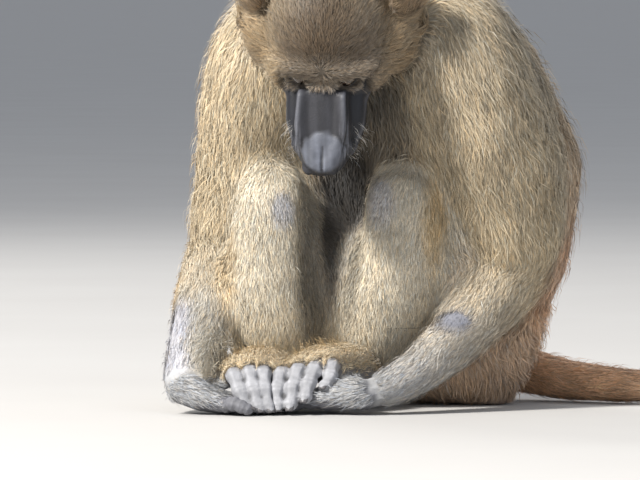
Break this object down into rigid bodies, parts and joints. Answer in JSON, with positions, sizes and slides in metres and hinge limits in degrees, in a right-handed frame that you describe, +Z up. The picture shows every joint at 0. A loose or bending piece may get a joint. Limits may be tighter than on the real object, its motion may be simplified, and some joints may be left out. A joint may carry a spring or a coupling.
{
  "type": "guinea baboon",
  "caption": "Life-size Guinea baboon sitting hunched with bowed head, knees drawn up, toes over its hands and tail laid to its left.",
  "frame": {"origin": "centre of the bounding box in plan, on the floor that the animal sits on", "axes": "+Z up; the face looks along -Y; the animal's left side is at +X"},
  "size_m": [0.629, 0.4008, 0.4631],
  "materials": {
    "coat": "dense grizzled olive-brown hair, lying along the body",
    "rust_coat": "orange-rust hair of haunches and tail",
    "skin": "bare slate-grey wrinkled skin, slightly waxy",
    "eye": "wet brown eye"
  },
  "bodies": {
    "root": {"head": "coat", "neck": "coat", "torso": "coat", "upper_arm_left": "coat", "upper_arm_right": "coat", "forearm_left": "coat", "forearm_right": "coat", "shank_left": "coat", "shank_right": "coat", "thigh_left": "rust_coat", "thigh_right": "rust_coat", "tail_root": "rust_coat", "tail_middle": "rust_coat", "tail_end": "rust_coat", "tail_tip": "rust_coat", "muzzle": "skin", "ear_left": "skin", "ear_right": "skin", "hand_left": "skin", "hand_right": "skin", "foot_left": "skin", "foot_right": "skin", "seat_pad_left": "skin", "seat_pad_right": "skin", "eye_left": "eye", "eye_right": "eye"}
  },
  "joints": []
}
